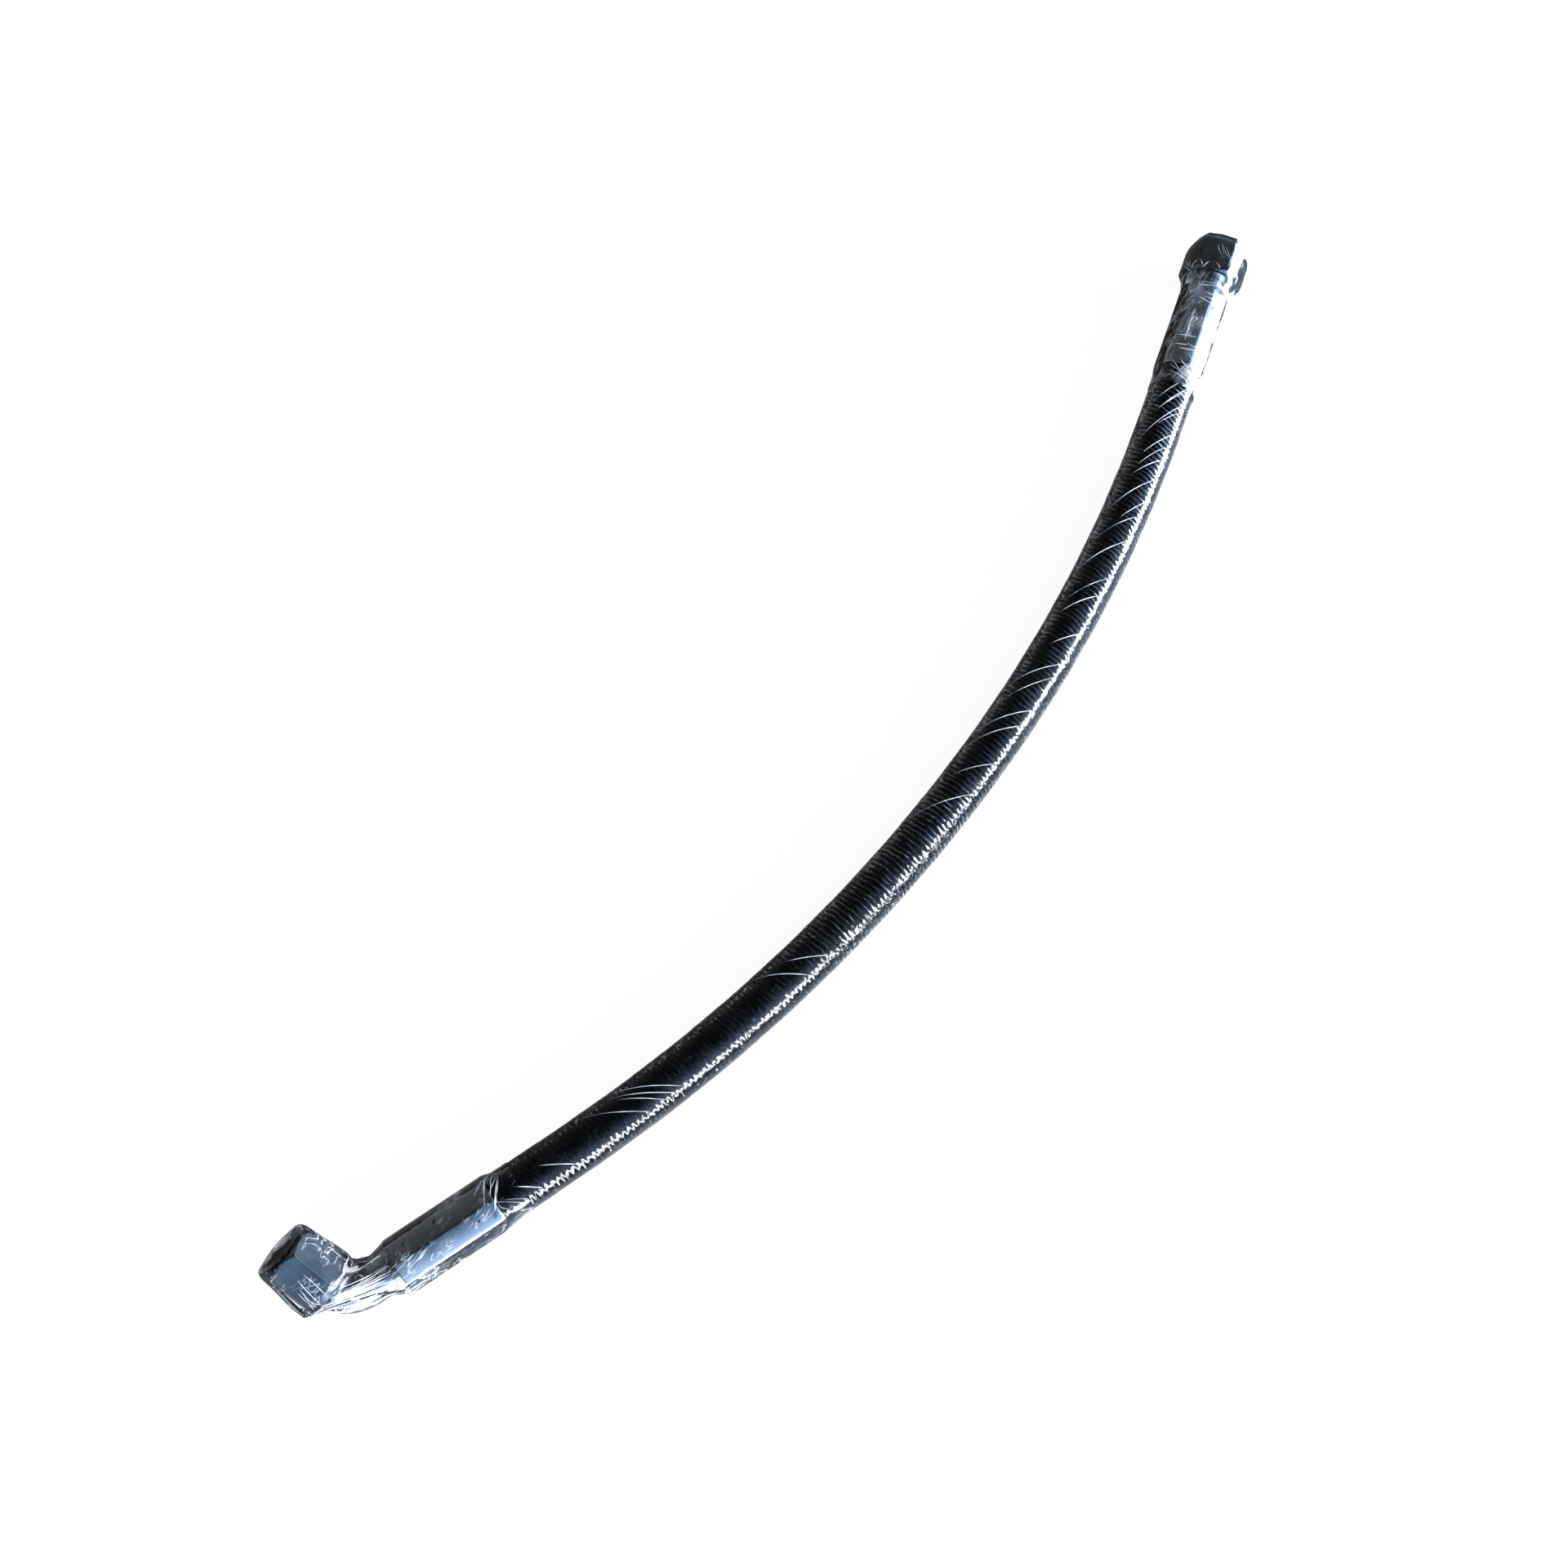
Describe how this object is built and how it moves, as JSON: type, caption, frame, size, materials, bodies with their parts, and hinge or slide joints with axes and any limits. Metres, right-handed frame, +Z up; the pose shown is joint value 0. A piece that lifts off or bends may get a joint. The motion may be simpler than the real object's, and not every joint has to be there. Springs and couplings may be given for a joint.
{
  "type": "hydraulic hose assembly",
  "caption": "Wire-braid hydraulic hose with crimped ferrules, one straight and one bent swivel-nut end, wrapped in clear stretch film.",
  "frame": {"origin": "middle of the assembly's footprint, on the floor it lies on", "axes": "+X from the bent fitting to the straight one, +Z up, the hose bulges toward -Y and the bent nut opens toward +Y and up"},
  "size_m": [0.931, 0.1572, 0.0546],
  "materials": {
    "cover_rubber": "smooth black cover, glossy under film",
    "tube_rubber": "matt black",
    "insulating_rubber": "matt dark grey",
    "brass_coated_wire": "brass coated high-tensile wire braid",
    "bright_zinc": "bright blue-white zinc plate",
    "spring_wire": "plain bright spring wire",
    "nitrile_rubber": "smooth black",
    "stretch_film": "clear stretch film with fine wrinkles"
  },
  "bodies": {
    "hose": {"hose_inner_tube": "tube_rubber", "hose_inner_braid": "brass_coated_wire", "hose_middle_rubber": "insulating_rubber", "hose_outer_braid": "brass_coated_wire", "hose_cover": "cover_rubber", "film_hose_sleeve": "stretch_film", "straight_stem": "bright_zinc", "straight_ferrule": "bright_zinc", "straight_nut_snap_wire": "spring_wire", "straight_cone_o_ring": "nitrile_rubber", "film_straight_neck": "stretch_film", "elbow_insert": "bright_zinc", "elbow_bent_tube": "bright_zinc", "elbow_cone_head": "bright_zinc", "elbow_ferrule": "bright_zinc", "elbow_nut_snap_wire": "spring_wire", "elbow_cone_o_ring": "nitrile_rubber", "film_elbow_neck": "stretch_film"},
    "straight_nut": {"straight_swivel_nut": "bright_zinc"},
    "bent_nut": {"elbow_swivel_nut": "bright_zinc"}
  },
  "joints": [
    {"name": "straight_nut_swivel", "type": "hinge", "parent": "hose", "child": "straight_nut", "pos_m": [0.43057, 0.02175, 0.018], "axis": [0.9521, 0.3057, 0], "continuous": true},
    {"name": "bent_nut_swivel", "type": "hinge", "parent": "hose", "child": "bent_nut", "pos_m": [-0.44579, 0.04301, 0.02353], "axis": [0.0167, 0.8986, 0.4385], "continuous": true}
  ]
}
